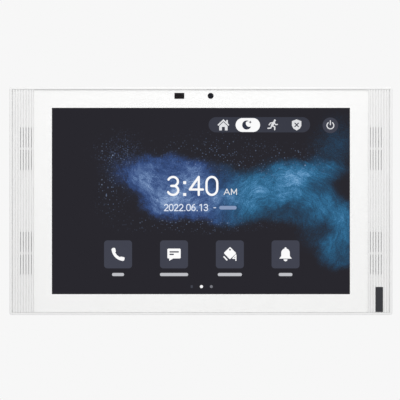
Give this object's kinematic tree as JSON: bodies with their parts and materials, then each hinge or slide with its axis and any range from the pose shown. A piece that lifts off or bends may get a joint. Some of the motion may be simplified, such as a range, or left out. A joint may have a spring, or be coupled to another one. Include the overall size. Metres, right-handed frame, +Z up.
{
  "type": "video intercom monitor",
  "caption": "Wall-hung video intercom monitor: touch display under glass between ribbed speaker grilles, camera above, wiring bay and hooked steel bracket behind.",
  "frame": {"origin": "middle of the wall bracket's back face, on the wall plane, behind the middle of the display", "axes": "+X to the right as seen from the room, +Y into the wall, +Z up; the display faces -Y"},
  "size_m": [0.279, 0.026, 0.166],
  "materials": {
    "white_housing": "fine satin texture",
    "white_back": "fine matte texture",
    "zinc_steel": "zinc plated",
    "screw_steel": "zinc plated",
    "clear_glass": "polished",
    "white_film": "printed behind glass",
    "dark_badge": "satin",
    "grey_label": "printed film, blank",
    "foam": "closed-cell foam",
    "white_foam": "acrylic foam tape",
    "cloth": "acoustic mesh",
    "touch_glass": "polished",
    "adhesive": "clear",
    "panel_black": "polarised glass",
    "flex_amber": "polyimide",
    "white_sheet": "diffusing film",
    "clear_acrylic": "light guide",
    "led_yellow": "phosphor over white board",
    "tray_metal": "satin",
    "black_plastic": "fine texture",
    "lens_glass": "coated lens",
    "board_green": "solder mask",
    "sensor_black": "infrared-pass window",
    "black_rubber": "moulded",
    "magnet_steel": "nickel plated",
    "cone_black": "coated diaphragm",
    "red_lead": "insulated lead",
    "black_lead": "insulated lead",
    "ivory_plastic": "connector plastic",
    "tinned_steel": "tin plated",
    "thermal_pink": "soft pad",
    "sink_aluminium": "extruded",
    "wound_yellow": "wound core and tape",
    "chip_black": "moulded package",
    "capacitor_sleeve": "sleeved aluminium can",
    "ferrite": "sintered ferrite",
    "relay_case": "moulded case",
    "cell_steel": "coin cell",
    "green_terminal": "terminal plastic",
    "reset_red": "moulded"
  },
  "bodies": {
    "wall_bracket": {"wall_bracket": "zinc_steel"},
    "monitor": {"front_housing": "white_housing", "rear_housing": "white_back", "housing_screws": "screw_steel", "rating_plate": "grey_label", "badge_plate": "dark_badge", "cover_glass": "clear_glass", "border_film": "white_film", "glass_tape": "white_foam", "touch_sensor": "touch_glass", "touch_flex": "flex_amber", "optical_adhesive": "adhesive", "lcd_cell": "panel_black", "lcd_flex": "flex_amber", "diffuser_sheet": "white_sheet", "light_guide": "clear_acrylic", "led_strip": "led_yellow", "backlight_tray": "tray_metal", "support_plate": "zinc_steel", "support_screws": "screw_steel", "camera_holder": "black_plastic", "camera_lens": "lens_glass", "camera_board": "board_green", "camera_flex": "flex_amber", "sensor_filter": "sensor_black", "sensor_holder": "black_plastic", "sensor_board": "board_green", "sensor_flex": "flex_amber", "grille_cloth": "cloth", "speaker_gaskets": "foam", "speaker_frames": "black_plastic", "speaker_surrounds": "black_rubber", "speaker_magnets": "magnet_steel", "speaker_wires": "red_lead", "microphone_boots": "black_rubber", "microphone_boards": "board_green", "microphone_wires": "black_lead", "main_board": "board_green", "board_screws": "screw_steel", "board_sockets": "ivory_plastic", "processor_shield": "tinned_steel", "thermal_pad": "thermal_pink", "heat_sink": "sink_aluminium", "power_transformer": "wound_yellow", "network_magnetics": "chip_black", "capacitors": "capacitor_sleeve", "inductors": "ferrite", "relays": "relay_case", "backup_battery": "cell_steel", "radio_module": "tinned_steel", "antenna": "black_lead", "ethernet_jack": "black_plastic", "jack_shield": "tinned_steel", "terminal_headers": "green_terminal", "terminal_plugs": "green_terminal", "reset_switch": "black_plastic"},
    "lock_screw": {"lock_screw": "screw_steel"},
    "reset_button": {"reset_button": "reset_red"},
    "speaker_cone_left": {"speaker_cone_left": "cone_black"},
    "speaker_cone_right": {"speaker_cone_right": "cone_black"}
  },
  "joints": [
    {"name": "monitor_lift", "type": "slide", "parent": "wall_bracket", "child": "monitor", "axis": [0, 0, 1], "range_m": [0, 0.006]},
    {"name": "lock_screw_withdraw", "type": "slide", "parent": "wall_bracket", "child": "lock_screw", "axis": [0, 0, -1], "range_m": [0, 0.0075]},
    {"name": "reset_press", "type": "slide", "parent": "monitor", "child": "reset_button", "axis": [0, 0, 1], "range_m": [0, 0.0008], "stiffness_N_per_m": 600, "springref_m": -0.001},
    {"name": "speaker_left_travel", "type": "slide", "parent": "monitor", "child": "speaker_cone_left", "axis": [0, 1, 0], "range_m": [-0.0003, 0.0003], "stiffness_N_per_m": 1500},
    {"name": "speaker_right_travel", "type": "slide", "parent": "monitor", "child": "speaker_cone_right", "axis": [0, 1, 0], "range_m": [-0.0003, 0.0003], "stiffness_N_per_m": 1500}
  ]
}
